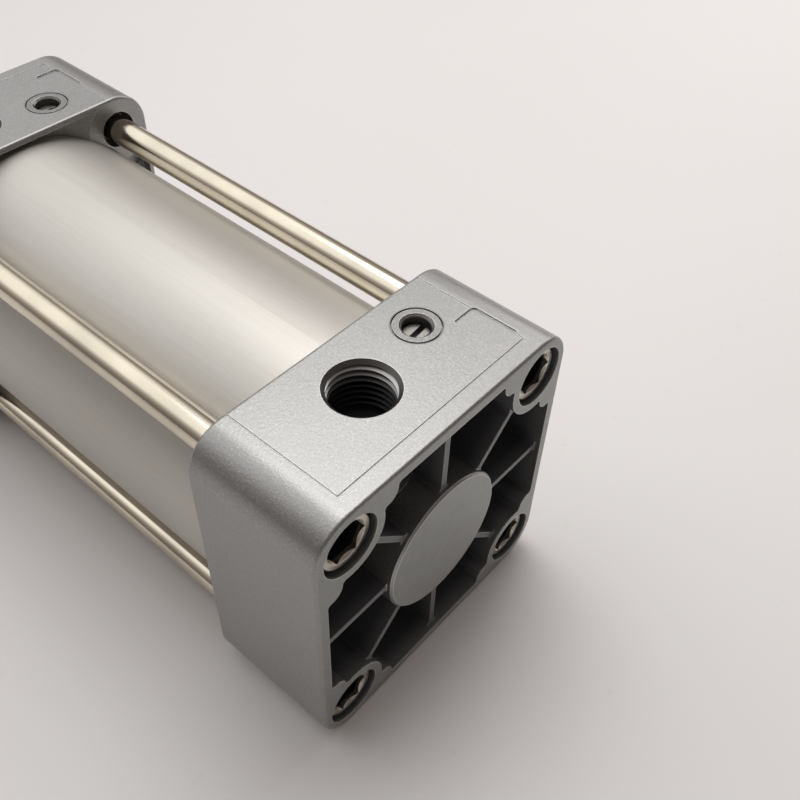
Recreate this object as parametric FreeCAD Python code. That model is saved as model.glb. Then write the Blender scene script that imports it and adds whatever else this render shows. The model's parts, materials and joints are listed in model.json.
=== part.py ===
"""Tie-rod pneumatic cylinder, bore 50 mm, stroke 50 mm, double acting with adjustable cushions.

Frame: the origin is the centre of the rear cover's mounting face. +X runs along the cylinder
towards the rod end, +Z is up, through the air ports. The rod is modelled fully retracted.
Both covers are drawn as a rear cover and the front one is mirrored about the cylinder's middle.
"""
import FreeCAD, Part
import math
import os
from FreeCAD import Vector

# ---- driving dimensions, mm ----
BORE = 50.0
STROKE = 50.0
SIDE = 62.0                     # square covers
COVER_LENGTH = 27.5
BODY_LENGTH = 93.0 + STROKE     # rear face to front face
ROD_DIAMETER = 20.0
TIE_ROD_PITCH = 47.0            # square screw pattern
PORT_THREAD_RADIUS = 6.58       # G1/4, major
ROD_THREAD_RADIUS = 8.0         # M16
BOSS_RADIUS = 19.0              # pilot boss at the rod end
BOSS_LENGTH = 15.0
BOSS_HUB_RADIUS = 20.0          # the boss's root, in the front cover's face
BOSS_BEVEL = 0.5
ROD_PROJECTION = 42.0           # rod beyond the boss when retracted

# ---- clearances, mm ----
FIXED_GAP = 0.02                # between pieces that are pressed, screwed or clamped together
RUNNING_GAP = 0.05              # between pieces that slide or turn on each other
PAST = 1.0                      # how far a cutting shape runs past the surface it opens

# ---- covers ----
CORNER_RADIUS = 7.5             # about the tie rods' axes
HALF = SIDE / 2
WALL = 2.2
FACE_EDGE_FILLET = 0.7
POCKET_DEPTH = 14.0
POCKET_FILLET = 0.8
RIB_WIDTH = 1.2
RIB_DROP = 1.2                  # ribs stop this far below the mounting face
RIB_COUNT = 8
HUB_RADIUS = 14.0               # disc in the middle of the rear face
HUB_BEVEL = 0.4
PAD_RADIUS = 7.4                # around each tie-rod nut
LOBE_RADIUS = 2.3
LOBE_ALONG = 8.0                # lobe centre from the nut's axis, along the wall
LOBE_OUT = 4.3                  # and towards the wall
CORNERS = [(sy * TIE_ROD_PITCH / 2, sz * TIE_ROD_PITCH / 2) for sy in (1, -1) for sz in (1, -1)]
DISH_DEPTH = 2.5                # hollow in the barrel-side face
DISH_RIM = 1.2
DISH_PAD_RADIUS = 7.5
DISH_PAD_SPREAD = 5.5
DISH_TUBE_MARGIN = 1.0          # the hollow ends this far inside the barrel's outline

# ---- ports and cushion screws, on top ----
PORT_X = 15.7
PORT_Y = 4.2
PORT_THREAD_LENGTH = 12.0
PORT_PASSAGE_RADIUS = 4.0
PORT_PASSAGE_OVERRUN = 3.0      # the passage drills this far into the cavity's wall
PORT_COLUMN_RADIUS = 9.1
NEEDLE_X = 18.8
NEEDLE_Y = -12.7
COLLAR_RADIUS = 4.5
COLLAR_BORE = 2.8
COLLAR_LENGTH = 6.0
NEEDLE_RECESS = 1.8
NEEDLE_BEVEL = 0.4
SLOT_WIDTH = 1.1
SLOT_DEPTH = 1.3
SLOT_ANGLE = 6
NEEDLE_TIP = 13.0               # heights along the screw, from the cylinder's axis
NEEDLE_CONE_TOP = 15.55
NEEDLE_NECK_TOP = 17.8
NEEDLE_THREAD_START = 18.6
O_RING_GROOVE = (20.6, 21.8)
NEEDLE_TIP_RADIUS = 0.4
NEEDLE_CONE_RADIUS = 0.97
NEEDLE_NECK_RADIUS = 1.9
NEEDLE_O_RING_SECTION = 0.41
COLLAR_BEVEL = 0.3
COLLAR_GROOVE_DEPTH = 0.5
SEAT_TOP = 15.0
SEAT_BOTTOM = 7.0
SEAT_RADIUS = 1.0
BLEED_HEIGHT = 17.0
LINE_WIDTH = 0.25               # engraved border line
LINE_DEPTH = 0.15
LINE_INSET = 3.5
LINE_Y = 22.4
LINE_END_MARGIN = 0.6
PLATE_DEPTH = 0.3               # blank sunk nameplate
PLATE_LENGTH = 9.8
PLATE_FILLET = 1.0
PLATE_Y = (-23.1, -17.3)
REAR_PLATE_X = 5.0
FRONT_PLATE_X = 7.4

# ---- tie rods and their sleeve nuts ----
TIE_ROD_RADIUS = 3.0            # M6 shank
TIE_ROD_THREAD_RADIUS = 2.7     # threaded ends, at the thread's pitch radius
NUT_RADIUS = 5.25
NUT_RECESS = 1.0
NUT_BEVEL = 0.3
NUT_SEAT = 19.5
NUT_SOCKET_FLATS = 7.0
NUT_SOCKET_MOUTH = 0.5          # chamfer that trims the middle of each flat
NUT_SOCKET_DEPTH = 5.75
NUT_THREAD_RADIUS = 3.0         # M6 mounting thread, major
TIE_ROD_END = 13.2
COUNTERBORE_RADIUS = 5.75
WEB_HOLE_RADIUS = 3.3
ROD_HOLE_RADIUS = 4.1
ROD_HOLE_DEPTH = 4.5
TIE_ROD_CHAMFER = 0.5
THREAD_RUNOUT = 0.1             # mounting thread stops short of the tie rod's end

# ---- barrel and the covers' spigots ----
BARREL_WALL = 3.75
BARREL_SEAT = 3.5               # how far the tube enters a cover
SPIGOT_LENGTH = 6.0
SPIGOT_RADIUS = BORE / 2 - 0.1
BARREL_SEAL_X = 29.0
BARREL_SEAL_SECTION = 1.02
SEAL_GROOVE_HALF_WIDTH = 1.2    # of the barrel seal's groove, in cord radii
BARREL_SEAL_SQUEEZE = 0.08
REAR_CAVITY_RADIUS = 11.0
REAR_CAVITY_START = 5.0
FRONT_CAVITY_RADIUS = 15.0
FRONT_CAVITY_START = 9.0
CUSHION_SEAL_X = (29.3, 32.5)
CUSHION_SEAL_WALL = 3.4
CUSHION_SEAL_MOUTH = 0.8

# ---- rod guide ----
BUSH_RADIUS = 12.0
BUSH_LENGTH = 15.5
BUSH_GAP = 0.03
SEAL_SEAT_RADIUS = 14.0
SEAL_SEAT_DEPTH = 8.5
CUP_LENGTH = 4.4                # rod seal
CUP_LIP = 1.0
CUP_VALLEY = 1.9
CUP_END_GAP = 0.1
WIPER_NECK = 0.8                # wiper: wall between the rod and each step of its section
WIPER_SHOULDER = 1.6
WIPER_LIP = 0.7
WIPER_STEP = 1.0                # the outer rim stops this far below the lip

# ---- piston and rod ----
PISTON_GAP = 0.2                # to the spigot at each end of the stroke
PISTON_LENGTH = BODY_LENGTH - 2 * (COVER_LENGTH + SPIGOT_LENGTH) - STROKE - 2 * PISTON_GAP
PISTON_REAR = COVER_LENGTH + SPIGOT_LENGTH + PISTON_GAP
PISTON_FRONT = PISTON_REAR + PISTON_LENGTH
PISTON_RADIUS = BORE / 2 - 0.2
SEAL_GROOVE_RADIUS = 20.5
SEAL_GROOVE_WIDTH = 5.2
SEAL_OFFSET = 5.2               # seal groove centre from the piston's end
WEAR_GROOVE_RADIUS = 23.0
WEAR_GROOVE_WIDTH = 5.1
WEAR_RING_GAP = 0.03
WEAR_RING_SPLIT = 1.0
WEAR_RING_SPLIT_ANGLE = 30
PISTON_BEVEL = 0.8
PISTON_O_RING_SECTION = 1.02
PISTON_O_RING_RADIUS = 6.06
INNER_GROOVE_DEPTH = 2.1
INNER_GROOVE_WIDTH = 2.6
LIP_SEAL_WIDTH = 5.0
LIP_SEAL_HEEL = 0.6
LIP_THICKNESS = 0.9
CUSHION_SLEEVE_LENGTH = 20.0
REAR_SLEEVE_RADIUS = 9.0
FRONT_SLEEVE_RADIUS = 13.0
TAIL_RADIUS = 5.0               # reduced rear end of the rod, M10
TAIL_END = 7.2
PISTON_NUT_FLATS = 15.0
PISTON_NUT_LENGTH = 6.0
ROD_FLATS = 17.0                # spanner flats
BOSS_END = BODY_LENGTH + BOSS_LENGTH
ROD_FLATS_START = BOSS_END + 2
ROD_THREAD_START = BOSS_END + 10
ROD_SHOULDER = 0.6              # step or bevel where the rod's diameter changes
ROD_TIP = 1.5
SLEEVE_BEVEL = 1.0
ROD_END = BOSS_END + ROD_PROJECTION
ROD_NUT_FLATS = 24.0
ROD_NUT_LENGTH = 8.0
LOCKED_THREAD_RADIUS = 7.8      # thread under the lock nut, between its root and its crest
NUT_CORNER_DROP = 0.6           # of the corner's height over the flats, turned down along the nut
NUT_CORNER_SLOPE = 1.6
SHARP = 0.98                    # cosine above which two faces count as running on smoothly
TINY = 1e-6

X_AXIS = Vector(1, 0, 0)
Z_AXIS = Vector(0, 0, 1)


# ---- basic shapes ----
def round_bar(radius, x0, x1, y=0.0, z=0.0):
    """Cylinder along X."""
    return Part.makeCylinder(radius, x1 - x0, Vector(x0, y, z), X_AXIS)


def round_post(radius, z0, z1, x, y):
    """Cylinder along Z."""
    return Part.makeCylinder(radius, z1 - z0, Vector(x, y, z0), Z_AXIS)


def block(x0, x1, y0, y1, z0, z1):
    return Part.makeBox(x1 - x0, y1 - y0, z1 - z0, Vector(x0, y0, z0))


def turned(profile):
    """Solid of revolution about X from (x, radius) corners."""
    corners = [Vector(x, 0, radius) for x, radius in profile]
    face = Part.Face(Part.makePolygon(corners + corners[:1]))
    return face.revolve(Vector(0, 0, 0), X_AXIS, 360)


def o_ring(section, centre_radius, x):
    return Part.makeTorus(centre_radius, section, Vector(x, 0, 0), X_AXIS)


def hexagon_bar(flats, x0, x1):
    radius = flats / math.sqrt(3)
    corners = [
        Vector(x0, radius * math.cos(math.radians(60 * k)), radius * math.sin(math.radians(60 * k)))
        for k in range(7)
    ]
    return Part.Face(Part.makePolygon(corners)).extrude(Vector(x1 - x0, 0, 0))


def stood_up(shape, x, y):
    """A shape drawn along X, turned to point along +Z at (x, y)."""
    upright = shape.copy()
    upright.rotate(Vector(0, 0, 0), Vector(0, 1, 0), -90)
    upright.translate(Vector(x, y, 0))
    return upright


def joined(shapes):
    return shapes[0].multiFuse(shapes[1:])


def rounded_square(side, corner, x0, x1):
    """Square bar along X with rounded corners."""
    half = side / 2
    bar = block(x0, x1, -half, half, -half, half)
    long_edges = [edge for edge in bar.Edges if is_along_x(edge)]
    return bar.makeFillet(corner, long_edges)


def is_along_x(edge):
    if edge.Curve.TypeId != "Part::GeomLine":
        return False
    start, end = edge.Vertexes[0].Point, edge.Vertexes[-1].Point
    return abs(abs(end.x - start.x) - edge.Length) < TINY


def end_edges(shape):
    """Edges that lie in a plane square to X."""
    return [edge for edge in shape.Edges if edge.BoundBox.XLength < TINY]


def normal_at(face, point):
    u, v = face.Surface.parameter(point)
    return face.normalAt(u, v)


def is_sharp(shape, edge):
    """True where the two faces beside an edge meet at an angle, so not along a smooth run."""
    faces = shape.ancestorsOfType(edge, Part.Face)
    point = edge.CenterOfMass
    return len(faces) == 2 and normal_at(faces[0], point).dot(normal_at(faces[1], point)) < SHARP


def with_soft_long_edges(shape, radius):
    """Rounds every sharp straight edge that runs along X."""
    return shape.makeFillet(radius, [e for e in shape.Edges if is_along_x(e) and is_sharp(shape, e)])


def front_end(shape):
    """The same shape at the rod end: mirrored about the cylinder's middle."""
    return shape.mirror(Vector(BODY_LENGTH / 2, 0, 0), X_AXIS)


# ---- covers: outside ----
def cover_blank():
    blank = rounded_square(SIDE, CORNER_RADIUS, 0, COVER_LENGTH)
    return blank.makeFillet(FACE_EDGE_FILLET, end_edges(blank))


def corner_pad(y, z, x0, x1):
    """Round pad about a nut, with a small lobe on each of the two walls beside it."""
    side_y, side_z = math.copysign(1, y), math.copysign(1, z)
    parts = [round_bar(PAD_RADIUS, x0, x1, y, z)]
    for along_y in (True, False):
        lobe_y = y - side_y * LOBE_ALONG if along_y else y + side_y * LOBE_OUT
        lobe_z = z + side_z * LOBE_OUT if along_y else z - side_z * LOBE_ALONG
        parts.append(round_bar(LOBE_RADIUS, x0, x1, lobe_y, lobe_z))
        web_y = sorted((lobe_y, y if along_y else lobe_y + side_y * LOBE_RADIUS))
        web_z = sorted((lobe_z, z if not along_y else lobe_z + side_z * LOBE_RADIUS))
        parts.append(block(x0, x1, *web_y, *web_z))
    return joined(parts)


def pocket_space(hub_radius, x0, x1):
    """Room inside the outer wall that neither the hub nor the pads fill."""
    space = rounded_square(SIDE - 2 * WALL, CORNER_RADIUS - WALL, x0, x1)
    pads = [corner_pad(y, z, x0, x1) for y, z in CORNERS]
    return space.cut(joined(pads + [round_bar(hub_radius, x0, x1)]))


def ribs(x0, x1):
    """Thin radial ribs from the hub to the walls and pads."""
    blades = []
    for k in range(RIB_COUNT // 2):
        blade = block(x0, x1, -SIDE, SIDE, -RIB_WIDTH / 2, RIB_WIDTH / 2)
        blade.rotate(Vector(0, 0, 0), X_AXIS, 360 / RIB_COUNT * k)
        blades.append(blade)
    return joined(blades)


def hub_bevel(hub_radius):
    rim = hub_radius - HUB_BEVEL
    return turned([(-PAST, rim - PAST), (HUB_BEVEL, hub_radius), (-PAST, hub_radius)])


def pockets(hub_radius):
    above_ribs = with_soft_long_edges(pocket_space(hub_radius, -PAST, RIB_DROP), POCKET_FILLET)
    cells = pocket_space(hub_radius, RIB_DROP, POCKET_DEPTH).cut(ribs(0, POCKET_DEPTH + PAST))
    port_column = round_post(PORT_COLUMN_RADIUS, 0, HALF, PORT_X, PORT_Y)
    return above_ribs.fuse(with_soft_long_edges(cells, POCKET_FILLET).cut(port_column))


def barrel_side_dish():
    """Shallow hollow around the barrel that rises to a flat pad at each tie rod."""
    floor = COVER_LENGTH - DISH_DEPTH
    dish = rounded_square(SIDE - 2 * DISH_RIM, CORNER_RADIUS - DISH_RIM, floor, COVER_LENGTH + PAST)
    height = DISH_DEPTH + PAST
    wide = DISH_PAD_RADIUS + DISH_PAD_SPREAD
    narrow = wide - height * DISH_PAD_SPREAD / DISH_DEPTH
    pads = [Part.makeCone(wide, narrow, height, Vector(floor, y, z), X_AXIS) for y, z in CORNERS]
    inside_tube = round_bar(BORE / 2 + BARREL_WALL - DISH_TUBE_MARGIN, 0, BODY_LENGTH)
    return dish.cut(joined(pads + [inside_tube]))


def tie_rod_holes():
    holes = []
    for y, z in CORNERS:
        holes.append(round_bar(COUNTERBORE_RADIUS, -PAST, NUT_SEAT, y, z))
        holes.append(round_bar(WEB_HOLE_RADIUS, 0, COVER_LENGTH, y, z))
        holes.append(round_bar(ROD_HOLE_RADIUS, COVER_LENGTH - ROD_HOLE_DEPTH, COVER_LENGTH + PAST, y, z))
    return joined(holes)


def border_line():
    """Engraved line around three sides of the top face."""
    top, bottom = HALF + PAST, HALF - LINE_DEPTH
    across = block(LINE_INSET, LINE_INSET + LINE_WIDTH, -LINE_Y, LINE_Y, bottom, top)
    end, half_width = COVER_LENGTH - LINE_END_MARGIN, LINE_WIDTH / 2
    sides = [block(LINE_INSET, end, y - half_width, y + half_width, bottom, top) for y in (LINE_Y, -LINE_Y)]
    return joined([across] + sides)


def sunk_plate(x0):
    """Blank plate of constant depth that follows the rounded corner."""
    footprint = block(x0, x0 + PLATE_LENGTH, *PLATE_Y, 0, HALF + PAST)
    upright_edges = [e for e in footprint.Edges if e.BoundBox.ZLength > HALF]
    footprint = footprint.makeFillet(PLATE_FILLET, upright_edges)
    core = rounded_square(SIDE - 2 * PLATE_DEPTH, CORNER_RADIUS - PLATE_DEPTH, 0, COVER_LENGTH)
    return footprint.cut(core)


# ---- covers: air passages ----
def port_hole(cavity_radius):
    thread = round_post(PORT_THREAD_RADIUS, HALF - PORT_THREAD_LENGTH, HALF + PAST, PORT_X, PORT_Y)
    bottom = cavity_radius - PORT_PASSAGE_OVERRUN
    passage = round_post(PORT_PASSAGE_RADIUS, bottom, HALF, PORT_X, PORT_Y)
    return thread.fuse(passage)


def cushion_passages():
    """Screw hole, its seat, the cross hole to the cavity and the bleed hole to the barrel."""
    collar = round_post(COLLAR_RADIUS, HALF - COLLAR_LENGTH, HALF + PAST, NEEDLE_X, NEEDLE_Y)
    bore = round_post(COLLAR_BORE, SEAT_TOP, HALF, NEEDLE_X, NEEDLE_Y)
    seat = round_post(SEAT_RADIUS, SEAT_BOTTOM, SEAT_TOP + PAST, NEEDLE_X, NEEDLE_Y)
    corner = Vector(NEEDLE_X, NEEDLE_Y, SEAT_BOTTOM)
    cross = Part.makeCylinder(SEAT_RADIUS, -NEEDLE_Y, corner, Vector(0, 1, 0))
    spigot_end = COVER_LENGTH + SPIGOT_LENGTH
    bleed = round_bar(SEAT_RADIUS, NEEDLE_X, spigot_end + PAST, NEEDLE_Y, BLEED_HEIGHT)
    return joined([collar, bore, seat, cross, bleed])


# ---- covers: barrel end ----
def barrel_joint():
    """Annular seat for the tube, with the seal groove in the spigot."""
    outer = BORE / 2 + BARREL_WALL + FIXED_GAP
    start = COVER_LENGTH - BARREL_SEAT
    seat = round_bar(outer, start, COVER_LENGTH + PAST).cut(round_bar(SPIGOT_RADIUS, 0, BODY_LENGTH))
    half_width = SEAL_GROOVE_HALF_WIDTH * BARREL_SEAL_SECTION
    seal_groove = round_bar(BORE / 2, BARREL_SEAL_X - half_width, BARREL_SEAL_X + half_width)
    floor = SPIGOT_RADIUS + BARREL_SEAL_SQUEEZE - 2 * BARREL_SEAL_SECTION - FIXED_GAP
    return seat.fuse(seal_groove.cut(round_bar(floor, 0, BODY_LENGTH)))


def cushion_cavity(radius, start, sleeve_radius):
    """Cavity that the cushion sleeve enters, with the seat of its seal."""
    x0, x1 = CUSHION_SEAL_X
    cavity = round_bar(radius, start, COVER_LENGTH + SPIGOT_LENGTH + PAST)
    return cavity.fuse(round_bar(sleeve_radius + CUSHION_SEAL_WALL, x0, x1))


def cover(hub_radius, cavity_radius, cavity_start, sleeve_radius, plate_x):
    spigot = round_bar(SPIGOT_RADIUS, COVER_LENGTH - PAST, COVER_LENGTH + SPIGOT_LENGTH)
    solid = cover_blank().fuse(spigot)
    for space in (
        pockets(hub_radius),
        hub_bevel(hub_radius),
        barrel_side_dish(),
        tie_rod_holes(),
        border_line(),
        sunk_plate(plate_x),
        barrel_joint(),
        cushion_cavity(cavity_radius, cavity_start, sleeve_radius),
        port_hole(cavity_radius),
        cushion_passages(),
    ):
        solid = solid.cut(space)
    return solid


def rear_cover():
    return cover(HUB_RADIUS, REAR_CAVITY_RADIUS, REAR_CAVITY_START, REAR_SLEEVE_RADIUS, REAR_PLATE_X)


def front_cover():
    body = front_end(
        cover(BOSS_HUB_RADIUS, FRONT_CAVITY_RADIUS, FRONT_CAVITY_START, FRONT_SLEEVE_RADIUS, FRONT_PLATE_X)
    )
    root = BODY_LENGTH - FRONT_CAVITY_START
    boss = turned([
        (root, 0), (root, BOSS_RADIUS), (BOSS_END - BOSS_BEVEL, BOSS_RADIUS),
        (BOSS_END, BOSS_RADIUS - BOSS_BEVEL), (BOSS_END, 0),
    ])
    guide = round_bar(BUSH_RADIUS, root - PAST, BOSS_END)
    seal_seat = round_bar(SEAL_SEAT_RADIUS, BOSS_END - SEAL_SEAT_DEPTH, BOSS_END + PAST)
    return body.fuse(boss).cut(guide.fuse(seal_seat))


# ---- barrel and tie rods ----
def barrel_tube():
    start = COVER_LENGTH - BARREL_SEAT
    tube = round_bar(BORE / 2 + BARREL_WALL, start, BODY_LENGTH - start)
    return tube.cut(round_bar(BORE / 2, 0, BODY_LENGTH))


def tie_rods():
    rods = []
    for y, z in CORNERS:
        threaded = round_bar(TIE_ROD_THREAD_RADIUS, TIE_ROD_END, BODY_LENGTH - TIE_ROD_END, y, z)
        threaded = threaded.makeChamfer(TIE_ROD_CHAMFER, end_edges(threaded))
        shank = round_bar(TIE_ROD_RADIUS, NUT_SEAT + FIXED_GAP, BODY_LENGTH - NUT_SEAT - FIXED_GAP, y, z)
        rods.append(threaded.fuse(shank))
    return Part.makeCompound(rods)


def sleeve_nut():
    """Nut that takes the tie rod from inside and a mounting screw from outside."""
    outside = turned([
        (NUT_RECESS, 0), (NUT_RECESS, NUT_RADIUS - NUT_BEVEL), (NUT_RECESS + NUT_BEVEL, NUT_RADIUS),
        (NUT_SEAT, NUT_RADIUS), (NUT_SEAT, 0),
    ])
    socket = hexagon_bar(NUT_SOCKET_FLATS, NUT_RECESS - PAST, NUT_RECESS + NUT_SOCKET_DEPTH)
    mounting_thread = round_bar(NUT_THREAD_RADIUS, NUT_RECESS, TIE_ROD_END - THREAD_RUNOUT)
    rod_thread = round_bar(TIE_ROD_THREAD_RADIUS + FIXED_GAP, NUT_RECESS, NUT_SEAT + PAST)
    flat = NUT_SOCKET_FLATS / 2
    mouth = turned([
        (NUT_RECESS, 0), (NUT_RECESS, flat + NUT_SOCKET_MOUTH), (NUT_RECESS + NUT_SOCKET_MOUTH, flat),
        (NUT_RECESS + NUT_SOCKET_MOUTH, 0),
    ])
    return outside.cut(joined([socket, mounting_thread, rod_thread, mouth]))


def tie_rod_nuts():
    nuts = []
    for y, z in CORNERS:
        nut = sleeve_nut()
        nut.translate(Vector(0, y, z))
        nuts.append(nut)
    return Part.makeCompound(nuts)


# ---- seals and guide in the covers ----
def barrel_seal():
    return o_ring(BARREL_SEAL_SECTION, BORE / 2 - BARREL_SEAL_SECTION - FIXED_GAP, BARREL_SEAL_X)


def cushion_seal(sleeve_radius):
    """Ring with a chamfered mouth towards the barrel."""
    x0, x1 = CUSHION_SEAL_X[0] + FIXED_GAP, CUSHION_SEAL_X[1] - FIXED_GAP
    inner, outer = sleeve_radius + RUNNING_GAP, sleeve_radius + CUSHION_SEAL_WALL - FIXED_GAP
    mouth = [(x1, inner + CUSHION_SEAL_MOUTH), (x1 - CUSHION_SEAL_MOUTH, inner)]
    return turned([(x0, inner), (x0, outer), (x1, outer)] + mouth)


def rod_bush():
    end = BOSS_END - SEAL_SEAT_DEPTH
    outside = round_bar(BUSH_RADIUS - FIXED_GAP, end - BUSH_LENGTH, end)
    return outside.cut(round_bar(ROD_DIAMETER / 2 + BUSH_GAP, 0, ROD_END))


def rod_seal():
    """U-cup, open towards the pressure side."""
    start = BOSS_END - SEAL_SEAT_DEPTH + CUP_END_GAP
    end = start + CUP_LENGTH
    inner, outer = ROD_DIAMETER / 2 + RUNNING_GAP, SEAL_SEAT_RADIUS - FIXED_GAP
    return turned([
        (start, inner), (start, inner + CUP_LIP), (start + CUP_VALLEY, (inner + outer) / 2),
        (start, outer - CUP_LIP), (start, outer), (end, outer), (end, inner),
    ])


def rod_wiper():
    """Wiper ring with a lip that leans on the rod at the boss's end."""
    start = BOSS_END - SEAL_SEAT_DEPTH + CUP_LENGTH + 2 * CUP_END_GAP
    inner, outer = ROD_DIAMETER / 2 + RUNNING_GAP, SEAL_SEAT_RADIUS - FIXED_GAP
    rim = BOSS_END - WIPER_STEP
    return turned([
        (start, inner + WIPER_NECK), (start, outer), (rim, outer), (rim, inner + WIPER_SHOULDER),
        (BOSS_END, inner + WIPER_LIP), (BOSS_END, inner), (BOSS_END - WIPER_NECK, inner),
    ])


# ---- cushion screws ----
def needle_collar():
    """Ring pressed in flush, with a fine groove left around it."""
    bottom, groove_floor = HALF - COLLAR_LENGTH, HALF - COLLAR_GROOVE_DEPTH
    outer = COLLAR_RADIUS - FIXED_GAP
    rim = outer - COLLAR_BEVEL
    ring = turned([
        (bottom, COLLAR_BORE), (bottom, outer), (groove_floor, outer), (groove_floor, rim),
        (HALF, rim), (HALF, COLLAR_BORE + COLLAR_BEVEL), (HALF - COLLAR_BEVEL, COLLAR_BORE),
    ])
    return stood_up(ring, NEEDLE_X, NEEDLE_Y)


def cushion_needle():
    """Slotted screw with an O-ring groove and a conical tip over the seat."""
    head, radius = HALF - NEEDLE_RECESS, COLLAR_BORE - RUNNING_GAP
    groove_start, groove_end = O_RING_GROOVE
    screw = turned([
        (NEEDLE_TIP, 0), (NEEDLE_TIP, NEEDLE_TIP_RADIUS), (NEEDLE_CONE_TOP, NEEDLE_CONE_RADIUS),
        (NEEDLE_CONE_TOP, NEEDLE_NECK_RADIUS), (NEEDLE_NECK_TOP, NEEDLE_NECK_RADIUS),
        (NEEDLE_THREAD_START, radius), (groove_start, radius), (groove_start, NEEDLE_NECK_RADIUS),
        (groove_end, NEEDLE_NECK_RADIUS), (groove_end, radius), (head - NEEDLE_BEVEL, radius),
        (head, radius - NEEDLE_BEVEL), (head, 0),
    ])
    slot = block(head - SLOT_DEPTH, head + PAST, -SIDE, SIDE, -SLOT_WIDTH / 2, SLOT_WIDTH / 2)
    slot.rotate(Vector(0, 0, 0), X_AXIS, SLOT_ANGLE)
    return stood_up(screw.cut(slot), NEEDLE_X, NEEDLE_Y)


def needle_o_ring():
    centre_radius = COLLAR_BORE - NEEDLE_O_RING_SECTION - FIXED_GAP
    ring = o_ring(NEEDLE_O_RING_SECTION, centre_radius, sum(O_RING_GROOVE) / 2)
    return stood_up(ring, NEEDLE_X, NEEDLE_Y)


# ---- piston ----
def groove_centres():
    return PISTON_REAR + SEAL_OFFSET, (PISTON_REAR + PISTON_FRONT) / 2, PISTON_FRONT - SEAL_OFFSET


def groove(inner, width, x):
    space = round_bar(BORE, x - width / 2, x + width / 2)
    return space.cut(round_bar(inner, 0, BODY_LENGTH))


def piston():
    rear, middle, front = groove_centres()
    rim = PISTON_RADIUS - PISTON_BEVEL
    body = turned([
        (PISTON_REAR, 0), (PISTON_REAR, rim), (PISTON_REAR + PISTON_BEVEL, PISTON_RADIUS),
        (PISTON_FRONT - PISTON_BEVEL, PISTON_RADIUS), (PISTON_FRONT, rim), (PISTON_FRONT, 0),
    ])
    half_groove = INNER_GROOVE_WIDTH / 2
    spaces = [
        round_bar(TAIL_RADIUS + FIXED_GAP, 0, BODY_LENGTH),
        round_bar(TAIL_RADIUS + INNER_GROOVE_DEPTH, middle - half_groove, middle + half_groove),
        groove(SEAL_GROOVE_RADIUS, SEAL_GROOVE_WIDTH, rear),
        groove(WEAR_GROOVE_RADIUS, WEAR_GROOVE_WIDTH, middle),
        groove(SEAL_GROOVE_RADIUS, SEAL_GROOVE_WIDTH, front),
    ]
    return body.cut(joined(spaces))


def piston_seal(x, towards):
    """Lip seal in its groove, with the lips spread towards one end."""
    inner, outer = SEAL_GROOVE_RADIUS + RUNNING_GAP, BORE / 2 - RUNNING_GAP
    heel, lip = x - towards * LIP_SEAL_WIDTH / 2, x + towards * LIP_SEAL_WIDTH / 2
    bevel = towards * LIP_SEAL_HEEL
    return turned([
        (heel, inner), (heel, outer - LIP_SEAL_HEEL), (heel + bevel, outer), (lip, outer),
        (lip, outer - LIP_THICKNESS), (x + bevel, (inner + outer) / 2), (lip, inner + LIP_THICKNESS),
        (lip, inner),
    ])


def piston_wear_ring():
    """Guide strip bent to a ring, with a slanted gap between its ends."""
    middle = groove_centres()[1]
    half = WEAR_GROOVE_WIDTH / 2 - RUNNING_GAP
    ring = round_bar(BORE / 2 - WEAR_RING_GAP, middle - half, middle + half)
    ring = ring.cut(round_bar(WEAR_GROOVE_RADIUS + RUNNING_GAP, 0, BODY_LENGTH))
    gap = block(-SIDE, SIDE, -WEAR_RING_SPLIT / 2, WEAR_RING_SPLIT / 2, -BORE, 0)
    gap.rotate(Vector(0, 0, 0), Z_AXIS, WEAR_RING_SPLIT_ANGLE)
    gap.translate(Vector(middle, 0, 0))
    return ring.cut(gap)


def piston_o_ring():
    return o_ring(PISTON_O_RING_SECTION, PISTON_O_RING_RADIUS, groove_centres()[1])


def rear_cushion_sleeve():
    start = PISTON_REAR - CUSHION_SLEEVE_LENGTH
    bore = TAIL_RADIUS + FIXED_GAP
    return turned([
        (start, bore), (start, REAR_SLEEVE_RADIUS - SLEEVE_BEVEL),
        (start + 2 * SLEEVE_BEVEL, REAR_SLEEVE_RADIUS), (PISTON_REAR, REAR_SLEEVE_RADIUS),
        (PISTON_REAR, bore),
    ])


def front_cushion_sleeve():
    end = PISTON_FRONT + CUSHION_SLEEVE_LENGTH
    bore = ROD_DIAMETER / 2 + FIXED_GAP
    return turned([
        (PISTON_FRONT, bore), (PISTON_FRONT, FRONT_SLEEVE_RADIUS),
        (end - 2 * SLEEVE_BEVEL, FRONT_SLEEVE_RADIUS), (end, FRONT_SLEEVE_RADIUS - SLEEVE_BEVEL),
        (end, bore),
    ])


def bevelled_nut(flats, bore, x0, x1):
    """Hexagon nut whose corners are turned down at both faces."""
    corner = flats / math.sqrt(3)
    drop = (corner - flats / 2) * NUT_CORNER_DROP
    face_radius = corner - drop * NUT_CORNER_SLOPE
    envelope = turned([
        (x0, 0), (x0, face_radius), (x0 + drop, corner), (x1 - drop, corner), (x1, face_radius), (x1, 0),
    ])
    return hexagon_bar(flats, x0, x1).common(envelope).cut(round_bar(bore, x0 - PAST, x1 + PAST))


def piston_nut():
    end = PISTON_REAR - CUSHION_SLEEVE_LENGTH
    return bevelled_nut(PISTON_NUT_FLATS, TAIL_RADIUS + FIXED_GAP, end - PISTON_NUT_LENGTH, end)


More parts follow.
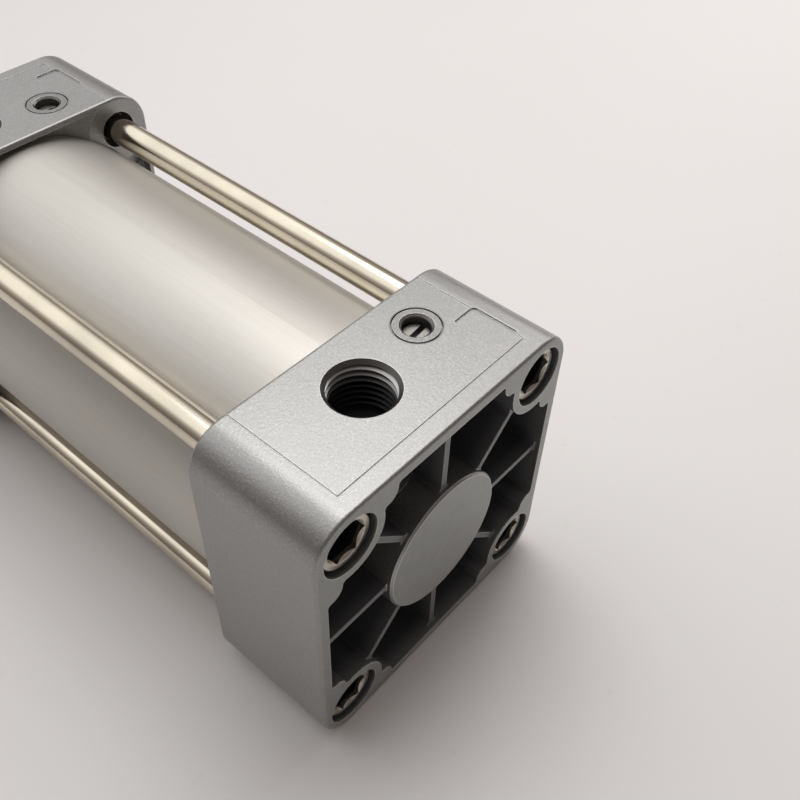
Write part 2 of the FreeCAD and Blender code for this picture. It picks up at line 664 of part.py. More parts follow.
# ---- rod ----
def piston_rod():
    radius = ROD_DIAMETER / 2
    nut_end = ROD_THREAD_START + ROD_NUT_LENGTH
    rod = turned([
        (TAIL_END, 0), (TAIL_END, TAIL_RADIUS - ROD_SHOULDER), (TAIL_END + ROD_SHOULDER, TAIL_RADIUS),
        (PISTON_FRONT, TAIL_RADIUS), (PISTON_FRONT, radius),
        (ROD_THREAD_START - ROD_SHOULDER, radius), (ROD_THREAD_START, radius - ROD_SHOULDER),
        (ROD_THREAD_START, LOCKED_THREAD_RADIUS), (nut_end, LOCKED_THREAD_RADIUS),
        (nut_end, ROD_THREAD_RADIUS), (ROD_END - ROD_TIP, ROD_THREAD_RADIUS),
        (ROD_END, ROD_THREAD_RADIUS - ROD_TIP), (ROD_END, 0),
    ])
    for side in (1, -1):
        flat = block(ROD_FLATS_START, ROD_THREAD_START + ROD_SHOULDER, -SIDE, SIDE, ROD_FLATS / 2, SIDE)
        if side < 0:
            flat = flat.mirror(Vector(0, 0, 0), Z_AXIS)
        rod = rod.cut(flat)
    return rod


def rod_nut():
    start = ROD_THREAD_START
    return bevelled_nut(ROD_NUT_FLATS, LOCKED_THREAD_RADIUS + FIXED_GAP, start, start + ROD_NUT_LENGTH)


def nodes():
    rear_seal_x, _, front_seal_x = groove_centres()
    return {
        "rear_cover": rear_cover(),
        "front_cover": front_cover(),
        "barrel_tube": barrel_tube(),
        "tie_rods": tie_rods(),
        "rear_tie_rod_nuts": tie_rod_nuts(),
        "front_tie_rod_nuts": front_end(tie_rod_nuts()),
        "rear_barrel_seal": barrel_seal(),
        "front_barrel_seal": front_end(barrel_seal()),
        "rear_cushion_seal": cushion_seal(REAR_SLEEVE_RADIUS),
        "front_cushion_seal": front_end(cushion_seal(FRONT_SLEEVE_RADIUS)),
        "rod_bush": rod_bush(),
        "rod_seal": rod_seal(),
        "rod_wiper": rod_wiper(),
        "rear_needle_collar": needle_collar(),
        "front_needle_collar": front_end(needle_collar()),
        "rear_cushion_needle": cushion_needle(),
        "front_cushion_needle": front_end(cushion_needle()),
        "rear_needle_o_ring": needle_o_ring(),
        "front_needle_o_ring": front_end(needle_o_ring()),
        "piston_rod": piston_rod(),
        "rod_nut": rod_nut(),
        "piston": piston(),
        "piston_o_ring": piston_o_ring(),
        "piston_wear_ring": piston_wear_ring(),
        "piston_seal_rear": piston_seal(rear_seal_x, -1),
        "piston_seal_front": piston_seal(front_seal_x, 1),
        "rear_cushion_sleeve": rear_cushion_sleeve(),
        "front_cushion_sleeve": front_cushion_sleeve(),
        "piston_nut": piston_nut(),
    }


os.makedirs("parts", exist_ok=True)
for name, shape in nodes().items():
    shape.exportStep(os.path.join("parts", name + ".step"))
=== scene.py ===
"""Looks of the tie-rod pneumatic cylinder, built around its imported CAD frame.

The CAD nodes keep their shape and get procedural materials. The threads that the CAD leaves smooth
are made here: both air ports, the sleeve nuts' mounting threads and the piston rod's end thread. So
are the small lips that hold the cushion screws in their collars.
Lengths are in metres. X runs along the cylinder towards the rod end and Z is up.
"""
import bmesh
import bpy
import json
import math
from mathutils import Matrix, Vector


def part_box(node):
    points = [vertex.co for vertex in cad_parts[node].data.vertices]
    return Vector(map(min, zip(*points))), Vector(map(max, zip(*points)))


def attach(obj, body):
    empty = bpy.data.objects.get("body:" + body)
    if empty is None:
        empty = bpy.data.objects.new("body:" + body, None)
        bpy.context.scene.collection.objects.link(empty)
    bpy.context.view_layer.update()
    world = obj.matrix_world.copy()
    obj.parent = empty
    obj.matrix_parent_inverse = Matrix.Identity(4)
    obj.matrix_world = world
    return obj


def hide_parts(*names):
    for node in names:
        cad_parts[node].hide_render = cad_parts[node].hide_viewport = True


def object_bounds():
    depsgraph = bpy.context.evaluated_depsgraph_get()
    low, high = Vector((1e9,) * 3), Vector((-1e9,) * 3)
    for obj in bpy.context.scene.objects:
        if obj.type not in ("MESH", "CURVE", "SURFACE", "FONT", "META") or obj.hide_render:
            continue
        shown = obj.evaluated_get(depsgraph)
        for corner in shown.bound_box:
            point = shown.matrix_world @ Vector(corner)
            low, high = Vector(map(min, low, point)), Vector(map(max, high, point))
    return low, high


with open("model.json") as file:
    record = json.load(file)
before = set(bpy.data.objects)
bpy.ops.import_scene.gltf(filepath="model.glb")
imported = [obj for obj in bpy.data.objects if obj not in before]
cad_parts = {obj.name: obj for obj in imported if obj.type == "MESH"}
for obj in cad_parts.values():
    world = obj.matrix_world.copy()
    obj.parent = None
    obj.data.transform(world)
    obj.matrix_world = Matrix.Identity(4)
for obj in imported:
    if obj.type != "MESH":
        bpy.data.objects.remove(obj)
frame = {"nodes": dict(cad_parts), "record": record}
cad_low, cad_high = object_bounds()

MM = 0.001
MOUNTS = {m["name"]: m for m in frame["record"]["mounts"]}
COLLARS = [sum(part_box(end + "_needle_collar"), Vector()) / 2 for end in ("rear", "front")]
REAR_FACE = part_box("rear_cover")[0].x
FRONT_FACE = REAR_FACE + 143 * MM
HALF_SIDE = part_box("rear_cover")[1].z
TIE_ROD_OFFSET = MOUNTS["rear_screw_pattern"]["dims"]["spacing_x_mm"] * MM / 2

# covers, where the materials change
WALL_CORNER = 5.36 * MM         # inside of the outer wall, from a tie rod's axis
HUBS = (14.05 * MM, 20.05 * MM)  # radius at the rear and at the front
POCKET_TOP = 0.4 * MM           # depths below the outer face
POCKET_FLOOR = 14.2 * MM
NUT_SEAT = 20 * MM
COUNTERBORE = 5.80 * MM
PORT = 6.62 * MM
COLLAR_SEAM = (4.50 * MM, 4.78 * MM)
NUT_SOCKET = 4.1 * MM
NUT_SKIN = 5.1 * MM

# threads and lips
G_QUARTER = {"pitch": 1.337 * MM, "crest": 5.72 * MM}
M6 = {"pitch": 1.0 * MM, "crest": 2.46 * MM}
M16 = {"pitch": 1.5 * MM, "root": 7.1 * MM, "crest": 8.0 * MM, "locked_crest": 7.8 * MM}
COLLAR_BORE = 2.8 * MM
WALL_GAP = 0.004 * MM           # between a thread and the CAD wall it sits on

# piston rod
ROD_RADIUS = 10.0 * MM
TAIL_RADIUS = 5.0 * MM
FLAT_HEIGHT = 8.5 * MM
THREAD_LENGTH = 32 * MM         # measured back from the rod's end
FLATS_START = 40 * MM
NUT_COVER = 24 * MM             # the lock nut sits behind this
TIP_RADIUS = 6.5 * MM


# ---------------------------------------------------------------- shader helpers
class Shader:
    """A material being built: every method adds a node and returns its output socket."""

    def __init__(self, name):
        self.material = bpy.data.materials.new(name)
        self.material.use_nodes = True
        self.tree = self.material.node_tree
        self.tree.nodes.clear()
        self.place = self.node("ShaderNodeTexCoord").outputs["Object"]
        self.x, self.y, self.z = self.node("ShaderNodeSeparateXYZ", Vector=self.place).outputs

    def node(self, kind, settings=None, **inputs):
        made = self.tree.nodes.new(kind)
        for key, value in (settings or {}).items():
            setattr(made, key, value)
        for key, value in inputs.items():
            self.plug(made.inputs[key], value)
        return made

    def plug(self, socket, value):
        if isinstance(value, bpy.types.NodeSocket):
            self.tree.links.new(value, socket)
        else:
            socket.default_value = value

    def math(self, operation, *values):
        made = self.node("ShaderNodeMath", {"operation": operation})
        for socket, value in zip(made.inputs, values):
            self.plug(socket, value)
        return made.outputs[0]

    def length(self, a, b):
        return self.math("SQRT", self.math("ADD", self.math("MULTIPLY", a, a), self.math("MULTIPLY", b, b)))

    def span(self, value, low, high, to_low=0.0, to_high=1.0):
        """Maps value from low..high to to_low..to_high, held at both ends."""
        made = self.node("ShaderNodeMapRange", {"clamp": True})
        for key, number in zip(("Value", "From Min", "From Max", "To Min", "To Max"),
                               (value, low, high, to_low, to_high)):
            self.plug(made.inputs[key], number)
        return made.outputs[0]

    def step(self, value, edge, softness=0.02 * MM):
        """0 below the edge, 1 above it."""
        return self.span(value, edge - softness, edge + softness)

    def both(self, *masks):
        result = masks[0]
        for mask in masks[1:]:
            result = self.math("MULTIPLY", result, mask)
        return result

    def opposite(self, mask):
        return self.math("SUBTRACT", 1.0, mask)

    def noise(self, scale, stretch=(1, 1, 1), detail=2.0, roughness=0.5):
        """Noise by real size: scale is in cells per metre, and stretch makes the cells longer."""
        squeezed = self.node("ShaderNodeVectorMath", {"operation": "DIVIDE"})
        self.plug(squeezed.inputs[0], self.place)
        self.plug(squeezed.inputs[1], stretch)
        made = self.node("ShaderNodeTexNoise", Vector=squeezed.outputs[0], Scale=scale, Detail=detail,
                         Roughness=roughness)
        return made.outputs["Fac"]

    def mix(self, factor, a, b):
        made = self.node("ShaderNodeMix", {"data_type": "RGBA"})
        self.plug(made.inputs[0], factor)
        self.plug(made.inputs[6], a)
        self.plug(made.inputs[7], b)
        return made.outputs[2]

    def blend(self, factor, a, b):
        made = self.node("ShaderNodeMix", {"data_type": "FLOAT"})
        self.plug(made.inputs[0], factor)
        self.plug(made.inputs[2], a)
        self.plug(made.inputs[3], b)
        return made.outputs[0]

    def edge(self, radius):
        """1 on convex and concave edges, by comparing the true normal with one rounded over radius."""
        rounded = self.node("ShaderNodeBevel", {"samples": 4}, Radius=radius).outputs[0]
        true = self.node("ShaderNodeNewGeometry").outputs["Normal"]
        dot = self.node("ShaderNodeVectorMath", {"operation": "DOT_PRODUCT"})
        self.plug(dot.inputs[0], rounded)
        self.plug(dot.inputs[1], true)
        return self.span(dot.outputs["Value"], 0.995, 0.93)

    def relief(self, height, depth, normal=None):
        """Bump of a real depth."""
        bump = self.node("ShaderNodeBump", Height=height, Distance=depth, Strength=1.0)
        if normal is not None:
            self.plug(bump.inputs["Normal"], normal)
        return bump.outputs[0]

    def soft_edges(self, radius):
        return self.node("ShaderNodeBevel", {"samples": 4}, Radius=radius).outputs[0]

    def finish(self, color, metallic, roughness, normal=None, **extra):
        shader = self.node("ShaderNodeBsdfPrincipled")
        inputs = {"Base Color": color, "Metallic": metallic, "Roughness": roughness, **extra}
        if normal is not None:
            inputs["Normal"] = normal
        for key, value in inputs.items():
            self.plug(shader.inputs[key], value)
        output = self.node("ShaderNodeOutputMaterial")
        self.tree.links.new(shader.outputs[0], output.inputs["Surface"])
        return self.material


def rgb(red, green, blue):
    return (red, green, blue, 1.0)


# ---------------------------------------------------------------- materials
def face_depth(s, front):
    """Distance below the cover's outer face."""
    if front:
        return s.math("SUBTRACT", FRONT_FACE, s.x)
    return s.math("SUBTRACT", s.x, REAR_FACE)


def from_tie_rod(s):
    """Places across the cylinder, measured outwards from the nearest tie rod's axis."""
    away_y = s.math("SUBTRACT", s.math("ABSOLUTE", s.y), TIE_ROD_OFFSET)
    away_z = s.math("SUBTRACT", s.math("ABSOLUTE", s.z), TIE_ROD_OFFSET)
    return away_y, away_z


def from_upright_axis(s, x, y):
    """Distance from an upright line."""
    return s.length(s.math("SUBTRACT", s.x, x), s.math("SUBTRACT", s.y, y))


def pocket_painted_shade(s, depth, front):
    """Painted shade of the ribbed pockets between the outer wall and the hub, darker further below the face.
    """
    away_y, away_z = from_tie_rod(s)
    past_corner = s.length(s.math("MAXIMUM", away_y, 0.0), s.math("MAXIMUM", away_z, 0.0))
    inside_wall = s.opposite(s.step(past_corner, WALL_CORNER))
    below_face = s.both(s.step(depth, POCKET_TOP), s.opposite(s.step(depth, POCKET_FLOOR)))
    pocket = s.both(inside_wall, s.step(s.length(s.y, s.z), HUBS[front]), below_face)
    # painted shade: from 0.45 to full strength between 0.8 mm and 4 mm below the face
    return s.both(pocket, s.span(depth, 0.8 * MM, 4.0 * MM, 0.45, 1.0))


def hole_painted_shade(s, depth, front):
    """Painted shade in the nut counterbores and down the port's wall, and a painted shade line in the seam
    around the needle collar.
    """
    near_nut = s.opposite(s.step(s.length(*from_tie_rod(s)), COUNTERBORE))
    nut_side = s.both(near_nut, s.opposite(s.step(depth, NUT_SEAT)))
    bore = s.both(nut_side, s.span(depth, 0.05 * MM, 0.7 * MM))
    sunk = s.math("SUBTRACT", HALF_SIDE, s.z)
    port_x, port_y, _ = MOUNTS["front_port" if front else "rear_port"]["pos_m"]
    in_port = s.opposite(s.step(from_upright_axis(s, port_x, port_y), PORT))
    port = s.both(in_port, s.span(sunk, 0.3 * MM, 2.6 * MM))
    collar = COLLARS[front]
    # painted shade line in the groove around the needle collar
    around = s.span(from_upright_axis(s, collar.x, collar.y), *COLLAR_SEAM, 0.8, 0.0)
    seam = s.both(around, s.opposite(s.step(sunk, 0.6 * MM)))
    return s.math("MAXIMUM", s.math("MAXIMUM", bore, port), seam)


def casting(name, front):
    """Blasted die-cast aluminium: fine sparkle, milled outer face, painted shade in the pockets and holes
    and painted highlights on the edges.
    """
    s = Shader(name)
    depth = face_depth(s, front)
    painted_shade = s.math("MAXIMUM", pocket_painted_shade(s, depth, front), hole_painted_shade(s, depth, front))
    milled = s.opposite(s.step(depth, 0.03 * MM))

    grain = s.noise(2600, detail=3)
    sparkle = s.noise(5200, detail=1)
    cloud = s.noise(45, detail=3)
    streaks = s.noise(420, detail=5, roughness=0.65)
    tone = s.mix(cloud, rgb(0.27, 0.27, 0.265), rgb(0.33, 0.33, 0.325))
    tone = s.mix(s.span(grain, 0.35, 0.7, 0.0, 0.55), tone, rgb(0.40, 0.40, 0.39))
    tone = s.mix(s.span(sparkle, 0.62, 0.75, 0.0, 0.6), tone, rgb(0.66, 0.66, 0.65))
    # painted shade: near-black blue-grey in the pockets, counterbores, port wall and collar seam
    tone = s.mix(painted_shade, tone, rgb(0.085, 0.092, 0.105))
    tone = s.mix(milled, tone, s.mix(streaks, rgb(0.27, 0.277, 0.265), rgb(0.40, 0.406, 0.39)))
    # painted highlight: light colour on rounded edges away from the painted shade
    painted_edge_highlight = s.both(s.edge(0.25 * MM), s.opposite(painted_shade))
    tone = s.mix(painted_edge_highlight, tone, rgb(0.80, 0.81, 0.82))
    roughness = s.blend(milled, s.blend(grain, 0.30, 0.42), 0.42)
    roughness = s.blend(painted_shade, roughness, 0.6)
    normal = s.relief(grain, 0.03 * MM, s.soft_edges(0.2 * MM))
    return s.finish(tone, s.blend(painted_shade, 0.78, 0.35), roughness, normal)


def anodised_tube():
    """Satin anodised tube with faint drawing lines along it."""
    s = Shader("barrel_anodised")
    lines = s.noise(2200, stretch=(40, 1, 1), detail=2)
    cloud = s.noise(30, detail=3)
    fine = s.noise(4200, detail=2)
    tone = s.mix(cloud, rgb(0.51, 0.49, 0.455), rgb(0.56, 0.54, 0.505))
    tone = s.mix(s.span(lines, 0.3, 0.7, 0.0, 0.3), tone, rgb(0.62, 0.605, 0.57))
    height = s.math("ADD", s.math("MULTIPLY", lines, 0.6), s.math("MULTIPLY", fine, 0.4))
    return s.finish(tone, 0.82, s.blend(fine, 0.42, 0.52), s.relief(height, 0.006 * MM))


def drawn_steel(name, color, roughness, stretch=(60, 1, 1), shade=0.75, depth=0.004 * MM):
    """Plated bright metal with fine lines, drawn or turned, along the stretched direction."""
    s = Shader(name)
    lines = s.noise(3000, stretch=stretch, detail=3)
    cloud = s.noise(90, detail=3)
    dull = tuple(shade * c for c in color[:3]) + (1.0,)
    tone = s.mix(s.span(cloud, 0.35, 0.75, 0.0, 0.7), color, dull)
    rough = s.math("ADD", s.span(lines, 0.3, 0.7, roughness * 0.8, roughness * 1.3),
                   s.span(cloud, 0.4, 0.8, 0.0, 0.06))
    normal = s.relief(lines, depth, s.soft_edges(0.1 * MM))
    return s.finish(tone, 1.0, rough, normal)


def cut_thread_metal():
    """Cut aluminium thread with painted shade: dark grey on the mouth's chamfer, near black further down the
    port.
    """
    s = Shader("cut_thread_aluminium")
    chatter = s.noise(2600, detail=3)
    tone = s.mix(chatter, rgb(0.46, 0.46, 0.45), rgb(0.62, 0.62, 0.61))
    sunk = s.math("SUBTRACT", HALF_SIDE, s.z)
    # painted shade: dark grey on the mouth, then near black deeper down the port
    tone = s.mix(s.opposite(s.step(sunk, 0.98 * MM)), tone, rgb(0.15, 0.15, 0.145))
    tone = s.mix(s.span(sunk, 1.6 * MM, 4.6 * MM), tone, rgb(0.02, 0.021, 0.023))
    return s.finish(tone, 0.9, s.blend(chatter, 0.26, 0.4), s.relief(chatter, 0.01 * MM))


def sleeve_nut_metal(name, front):
    """Nickel-plated nut with painted shade deep in its socket and on its sides down the counterbore, and
    painted highlights on its edges.
    """
    s = Shader(name)
    depth = face_depth(s, front)
    radius = s.length(*from_tie_rod(s))
    # painted shade: near black deep in the socket and on the nut's sides below its face
    socket = s.both(s.opposite(s.step(radius, NUT_SOCKET)), s.span(depth, 1.5 * MM, 2.2 * MM))
    skin = s.both(s.step(radius, NUT_SKIN), s.step(depth, 1.5 * MM, 0.2 * MM))
    inside = s.math("MAXIMUM", socket, skin)
    grain = s.noise(1800, detail=3)
    tone = s.mix(grain, rgb(0.56, 0.51, 0.43), rgb(0.70, 0.66, 0.58))
    tarnish = s.span(s.noise(330, detail=2), 0.48, 0.62, 0.0, 0.75)
    tone = s.mix(tarnish, tone, rgb(0.30, 0.28, 0.23))
    # painted highlight on the nut's edges
    tone = s.mix(s.edge(0.15 * MM), tone, rgb(0.9, 0.88, 0.82))
    tone = s.mix(inside, tone, rgb(0.012, 0.011, 0.011))
    rough = s.blend(inside, s.blend(grain, 0.22, 0.38), 0.55)
    normal = s.relief(grain, 0.008 * MM, s.soft_edges(0.15 * MM))
    return s.finish(tone, s.blend(inside, 1.0, 0.3), rough, normal)


def turned_metal(name, color, center=None, roughness=0.3):
    """Lathe-turned metal with fine rings about an upright axis, or about X, and painted highlights on its
    edges.
    """
    s = Shader(name)
    radius = from_upright_axis(s, center.x, center.y) if center else s.length(s.y, s.z)
    rings = s.math("SINE", s.math("MULTIPLY", radius, 2 * math.pi / (0.16 * MM)))
    grain = s.noise(2500, detail=3)
    dark = tuple(0.72 * c for c in color[:3]) + (1.0,)
    tone = s.mix(s.span(grain, 0.3, 0.7), color, dark)
    # painted highlight on the edges
    tone = s.mix(s.edge(0.12 * MM), tone, rgb(0.85, 0.84, 0.82))
    height = s.math("ADD", s.math("MULTIPLY", rings, 0.3), grain)
    return s.finish(tone, 1.0, s.blend(grain, roughness * 0.8, roughness * 1.3),
                    s.relief(height, 0.006 * MM, s.soft_edges(0.1 * MM)))


def rubber():
    """Moulded black nitrile with a faint grain."""
    s = Shader("seal_rubber")
    grain = s.noise(1500, detail=4)
    tone = s.mix(grain, rgb(0.012, 0.012, 0.013), rgb(0.035, 0.035, 0.036))
    return s.finish(tone, 0.0, s.blend(grain, 0.45, 0.65), s.relief(grain, 0.01 * MM))


def bronze():
    """Sintered bronze with open pores."""
    s = Shader("bush_bronze")
    pores = s.noise(5000, detail=2)
    tone = s.mix(s.span(pores, 0.35, 0.5), rgb(0.14, 0.09, 0.045), rgb(0.62, 0.44, 0.22))
    return s.finish(tone, 0.9, s.blend(pores, 0.55, 0.35), s.relief(pores, 0.015 * MM))


def slide_plastic():
    """Green filled plastic with short fibres around the ring."""
    s = Shader("wear_ring_plastic")
    fibre = s.noise(1200, stretch=(1, 6, 6), detail=3)
    tone = s.mix(fibre, rgb(0.02, 0.09, 0.055), rgb(0.04, 0.16, 0.10))
    return s.finish(tone, 0.0, 0.45, s.relief(fibre, 0.01 * MM))


def pale_floor():
    """Plain pale sheet with a faint mottle."""
    s = Shader("floor_pale")
    cloud = s.noise(7, detail=4)
    speck = s.noise(170, detail=4, roughness=0.7)
    tone = s.mix(cloud, rgb(0.81, 0.795, 0.785), rgb(0.85, 0.836, 0.828))
    tone = s.mix(s.span(speck, 0.66, 0.78, 0.0, 0.25), tone, rgb(0.62, 0.60, 0.585))
    return s.finish(tone, 0.0, 0.6, s.relief(speck, 0.02 * MM))


def dress(material, *nodes):
    """Gives CAD nodes their only material."""
    for name in nodes:
        slots = frame["nodes"][name].data.materials
        slots.clear()
        slots.append(material)


def dress_cad_nodes():
    nickel = rgb(0.74, 0.69, 0.60)
    dress(casting("rear_casting", False), "rear_cover")
    dress(casting("front_casting", True), "front_cover")
    dress(anodised_tube(), "barrel_tube")
    dress(drawn_steel("tie_rod_steel", rgb(0.74, 0.68, 0.56), 0.13), "tie_rods")
    dress(sleeve_nut_metal("rear_nut_nickel", False), "rear_tie_rod_nuts")
    dress(sleeve_nut_metal("front_nut_nickel", True), "front_tie_rod_nuts")
    dress(drawn_steel("nut_nickel", nickel, 0.26, stretch=(1, 1, 1)), "rod_nut", "piston_nut")
    for end, center in zip(("rear", "front"), COLLARS):
        collar = turned_metal(end + "_collar_steel", rgb(0.30, 0.30, 0.29), center, 0.42)
        needle = turned_metal(end + "_needle_steel", rgb(0.34, 0.33, 0.31), center, 0.36)
        dress(collar, end + "_needle_collar")
        dress(needle, end + "_cushion_needle")
    dress(turned_metal("sleeve_steel", rgb(0.6, 0.6, 0.6)), "rear_cushion_sleeve", "front_cushion_sleeve")
    dress(turned_metal("piston_aluminium", rgb(0.72, 0.72, 0.73)), "piston")
    dress(bronze(), "rod_bush")
    dress(slide_plastic(), "piston_wear_ring")
    dress(rubber(), "rear_barrel_seal", "front_barrel_seal", "rear_cushion_seal", "front_cushion_seal",
          "rod_seal", "rod_wiper", "rear_needle_o_ring", "front_needle_o_ring", "piston_o_ring",
          "piston_seal_rear", "piston_seal_front")


# ---------------------------------------------------------------- meshes
def bridge(bm, rings):
    """Faces between each ring of vertices and the next one."""
    for before, after in zip(rings, rings[1:]):
        count = len(before)
        for k in range(count):
            bm.faces.new((before[k], before[(k + 1) % count], after[(k + 1) % count], after[k]))


def mesh_object(name, bm, material, smooth_angle=40):
    """Turns a bmesh into an object that is shaded smooth up to an angle in degrees."""
    bmesh.ops.recalc_face_normals(bm, faces=bm.faces)
    mesh = bpy.data.meshes.new(name)
    bm.to_mesh(mesh)
    bm.free()
    mesh.materials.append(material)
    mesh.shade_smooth()
    mesh.set_sharp_from_angle(angle=math.radians(smooth_angle))
    made = bpy.data.objects.new(name, mesh)
    bpy.context.scene.collection.objects.link(made)
    return made


def thread_ridge(bm, origin, axis, root, crest, pitch, length, base_share=0.92, crest_share=0.16):
    """Closed helical ridge about an axis, right-handed, that fades into its wall at both ends."""
    axis = Vector(axis).normalized()
    across = axis.orthogonal().normalized()
    beside = axis.cross(across)
    turns = length / pitch
    steps = int(turns * 48)
    rings = []
    for k in range(steps + 1):
        turn = turns * k / steps
        angle = 2 * math.pi * turn
        out = across * math.cos(angle) + beside * math.sin(angle)
        rise = min(1.0, turn / 0.4, (turns - turn) / 0.4)
        top = root + (crest - root) * max(rise, 0.03)
        middle = Vector(origin) + axis * (pitch * turn)
        base_half = base_share * pitch / 2
        top_half = pitch / 2 * (base_share + (crest_share - base_share) * rise)
        corners = ((root, -base_half), (top, -top_half), (top, top_half), (root, base_half))
        rings.append([bm.verts.new(middle + out * radius + axis * along) for radius, along in corners])
    bridge(bm, rings)
    bm.faces.new(rings[0])
    bm.faces.new(reversed(rings[-1]))


def mouth_ring(bm, top, wall, chamfer, depth):
    """Conical lead-in around a hole's mouth, a closed ring inside the wall that slopes back below."""
    corners = ((wall, -0.01 * MM), (wall - chamfer, -chamfer), (wall, -depth))
    rings = []
    for k in range(96):
        angle = 2 * math.pi * k / 96
        out = Vector((math.cos(angle), math.sin(angle), 0))
        places = [Vector(top) + out * radius + Vector((0, 0, height)) for radius, height in corners]
        rings.append([bm.verts.new(place) for place in places])
    bridge(bm, rings + rings[:1])


def port_thread(end, material):
    """Internal G1/4 thread of one air port, below its plain mouth."""
    mount = MOUNTS[end + "_port"]
    x, y, _ = mount["pos_m"]
    wall = mount["dims"]["r_mm"] * MM - WALL_GAP
    mouth = 1.0 * MM
    length = mount["dims"]["length_mm"] * MM - mouth - 1.2 * MM
    bm = bmesh.new()
    mouth_ring(bm, (x, y, HALF_SIDE), wall, 0.72 * MM, 0.98 * MM)
    bottom = (x, y, HALF_SIDE - mouth - length)
    thread_ridge(bm, bottom, (0, 0, 1), wall, G_QUARTER["crest"], G_QUARTER["pitch"], length)
    piece = mesh_object(end + "_port_thread", bm, material)
    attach(piece, "housing")


def collar_lip(end, material):
    """Rolled-in lip that keeps one cushion screw inside its collar."""
    center = COLLARS[end == "front"]
    bm = bmesh.new()
    mouth_ring(bm, (center.x, center.y, HALF_SIDE - 0.2 * MM), COLLAR_BORE - WALL_GAP, 0.27 * MM, 0.52 * MM)
    piece = mesh_object(end + "_collar_lip", bm, material)
    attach(piece, "housing")


def nut_threads(end, material):
    """Mounting threads inside one cover's four sleeve nuts."""
    mount = MOUNTS[end + "_screw_pattern"]
    x, _, _ = mount["pos_m"]
    inward = -mount["axis"][0]
    start = x + inward * 0.7 * MM
    wall = mount["dims"]["hole_r_mm"] * MM - WALL_GAP
    bm = bmesh.new()
    for y in (TIE_ROD_OFFSET, -TIE_ROD_OFFSET):
        for z in (TIE_ROD_OFFSET, -TIE_ROD_OFFSET):
            thread_ridge(bm, (start, y, z), (inward, 0, 0), wall, M6["crest"], M6["pitch"], 5.2 * MM)
    piece = mesh_object(end + "_nut_threads", bm, material)
    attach(piece, "housing")


def rod_radius(x, angle, end):
    """Radius of the piston rod's surface at a place and angle, with its flats and its end thread."""
    to_end = end - x
    if to_end > FLATS_START:
        return ROD_RADIUS
    if to_end > THREAD_LENGTH:
        return min(ROD_RADIUS, FLAT_HEIGHT / max(abs(math.sin(angle)), 1e-6))
    chamfer = TIP_RADIUS + max(to_end, 0.0)
    phase = (x / M16["pitch"] - angle / (2 * math.pi)) % 1.0
    tooth = 1 - abs(2 * phase - 1)
    share = min(1.0, max(0.0, (tooth - 0.1) / 0.78))
    crest = M16["locked_crest"] if to_end > NUT_COVER else M16["crest"]
    return min(chamfer, crest, M16["root"] + (M16["crest"] - M16["root"]) * share)


def rod_angles():
    """Even steps around the rod, with the edges of both flats added."""
    flat_edge = math.asin(FLAT_HEIGHT / ROD_RADIUS)
    steps = 72
    angles = [2 * math.pi * k / steps for k in range(steps)]
    angles += [flat_edge, math.pi - flat_edge, math.pi + flat_edge, 2 * math.pi - flat_edge]
    return sorted(angles)


def piston_rod(material):
    """Chrome rod with spanner flats and a cut M16 x 1.5 end thread, one closed surface about X."""
    low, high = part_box("piston_rod")
    piston_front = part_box("piston")[1].x
    thread_start = high.x - THREAD_LENGTH
    flats_start = high.x - FLATS_START
    nudge = 0.01 * MM
    hub = 0.4 * MM
    bevel = 0.6 * MM
    angles = rod_angles()
    bm = bmesh.new()
    rings = []

    def ring(x, radius=None):
        radii = [radius or rod_radius(x, a, high.x) for a in angles]
        rings.append([bm.verts.new((x, r * math.cos(a), r * math.sin(a))) for r, a in zip(radii, angles)])

    ring(low.x, hub)
    ring(low.x, TAIL_RADIUS - bevel)
    ring(low.x + bevel, TAIL_RADIUS)
    ring(piston_front, TAIL_RADIUS)
    ring(piston_front, ROD_RADIUS)
    ring(flats_start - nudge, ROD_RADIUS)
    ring(flats_start + nudge)
    ring(thread_start - nudge)
    samples = int(THREAD_LENGTH / (M16["pitch"] / 12))
    for k in range(samples + 1):
        ring(thread_start + nudge + (THREAD_LENGTH - nudge) * k / samples)
    ring(high.x, hub)
    bridge(bm, rings)
    bm.faces.new(rings[0])
    bm.faces.new(reversed(rings[-1]))
    piece = mesh_object("threaded_piston_rod", bm, material, 30)
    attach(piece, "rod")
    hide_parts("piston_rod")


# ---------------------------------------------------------------- stage
def floor():
    """Flat pale ground under the cylinder."""
    size = 2.0
    bm = bmesh.new()
    bmesh.ops.create_grid(bm, x_segments=4, y_segments=4, size=size)
    bmesh.ops.translate(bm, verts=bm.verts, vec=(0, 0, cad_low.z))
    mesh_object("floor", bm, pale_floor())


def area_light(name, place, aim, size, power, color):
    data = bpy.data.lights.new(name, "AREA")
    data.shape = "DISK"
    data.size = size
    data.energy = power
    data.color = color
    lamp = bpy.data.objects.new(name, data)
    lamp.location = place
    lamp.rotation_euler = (Vector(aim) - Vector(place)).to_track_quat("-Z", "Y").to_euler()
    bpy.context.scene.collection.objects.link(lamp)


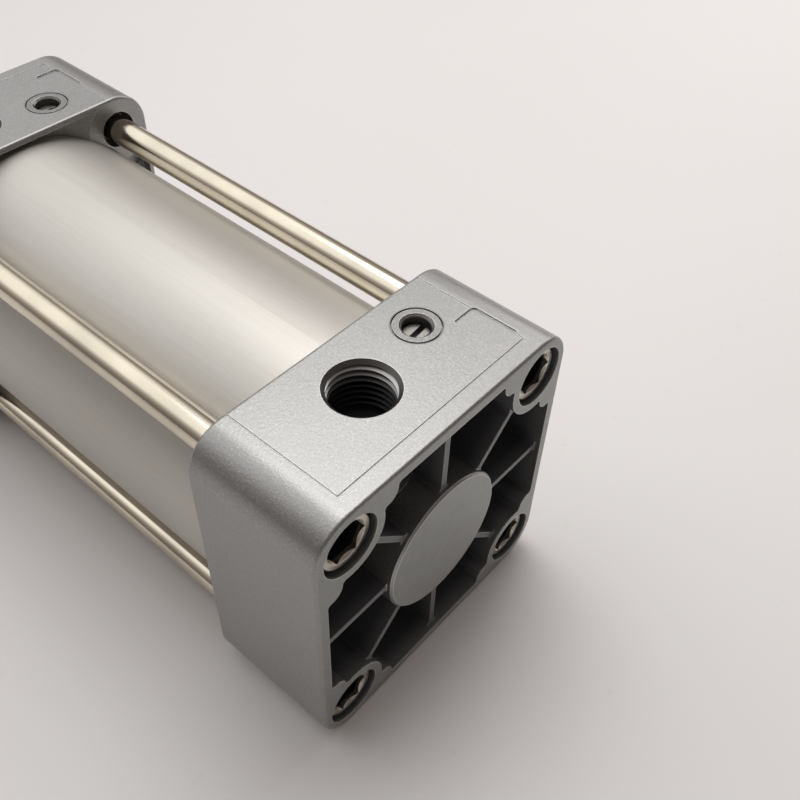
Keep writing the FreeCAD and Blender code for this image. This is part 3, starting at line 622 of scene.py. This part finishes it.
def room_light(bright_side):
    """World that is brightest around one direction and warmer where it is dim."""
    world = bpy.data.worlds.new("studio_room")
    bpy.context.scene.world = world
    world.use_nodes = True
    tree = world.node_tree
    tree.nodes.clear()
    direction = tree.nodes.new("ShaderNodeTexCoord").outputs["Generated"]
    towards = tree.nodes.new("ShaderNodeVectorMath")
    towards.operation = "DOT_PRODUCT"
    towards.inputs[1].default_value = bright_side
    ramp = tree.nodes.new("ShaderNodeValToRGB")
    sky = tree.nodes.new("ShaderNodeBackground")
    out = tree.nodes.new("ShaderNodeOutputWorld")
    shifted = tree.nodes.new("ShaderNodeMapRange")
    shifted.inputs["From Min"].default_value = -1.0
    tree.links.new(direction, towards.inputs[0])
    tree.links.new(towards.outputs["Value"], shifted.inputs["Value"])
    tree.links.new(shifted.outputs[0], ramp.inputs[0])
    tree.links.new(ramp.outputs[0], sky.inputs[0])
    tree.links.new(sky.outputs[0], out.inputs[0])
    peak = 1.3
    far_side = (0.38, 0.365, 0.34)
    around_room = ((0.3, 0.24), (0.5, 0.125), (0.70, 0.18))
    towards_bright = ((0.765, 0.24), (0.821, 0.34), (0.877, 0.58), (0.94, 1.2))
    stops = ramp.color_ramp.elements
    stops[0].position = 0.0
    stops[0].color = rgb(*(level / peak for level in far_side))
    stops[1].position = 1.0
    stops[1].color = rgb(1.0, 0.99, 0.98)
    for position, level in around_room + towards_bright:
        share = level / peak
        warmth = 0.2 * (1 - share)
        stops.new(position).color = rgb(share, (1 - 0.7 * warmth) * share, (1 - warmth) * share)
    sky.inputs[1].default_value = peak


def studio():
    """Soft key light from above, a low fill beside it and a dim room."""
    middle = (cad_low + cad_high) / 2
    lamp_color = (1.0, 0.985, 0.965)
    above = middle + 0.55 * Vector((0.14, -0.30, 0.945)).normalized()
    area_light("key_light", above, middle, 0.40, 1.08, lamp_color)
    beside = middle + 0.8 * Vector((0.05, -0.88, 0.47)).normalized()
    area_light("side_fill", beside, middle, 0.5, 1.25, lamp_color)
    room_light(Vector((0.60, -0.02, 0.80)).normalized())


def camera():
    """Close view from above the rear cover's corner, looking along towards the rod end."""
    data = bpy.data.cameras.new("view")
    data.sensor_width = 36.0
    data.lens = 42.74
    data.clip_start = 0.005
    back = Vector((-0.43793, 0.5298, 0.72631)).normalized()
    right = Vector((-0.75282, -0.65771, 0.02585))
    right = (right - back * right.dot(back)).normalized()
    up = back.cross(right)
    turn = Matrix((right, up, back)).transposed().to_4x4()
    lens = bpy.data.objects.new("view", data)
    lens.matrix_world = Matrix.Translation(Vector((-55.16, 80.43, 138.23)) * MM) @ turn
    bpy.context.scene.collection.objects.link(lens)
    bpy.context.scene.camera = lens


bpy.context.scene.view_settings.view_transform = "Standard"
dress_cad_nodes()
cut_metal = cut_thread_metal()
thread_dark = rgb(0.16, 0.15, 0.14)
lip_grey = rgb(0.20, 0.195, 0.185)
chrome = rgb(0.82, 0.82, 0.83)
for cover_end in ("rear", "front"):
    port_thread(cover_end, cut_metal)
    collar_lip(cover_end, drawn_steel(cover_end + "_lip_steel", lip_grey, 0.3, stretch=(1, 1, 1)))
    nut_threads(cover_end, drawn_steel(cover_end + "_nut_thread_steel", thread_dark, 0.4, stretch=(1, 1, 1)))
piston_rod(drawn_steel("rod_chrome", chrome, 0.09, stretch=(1, 30, 30), shade=0.92, depth=0.001 * MM))
floor()
studio()
camera()
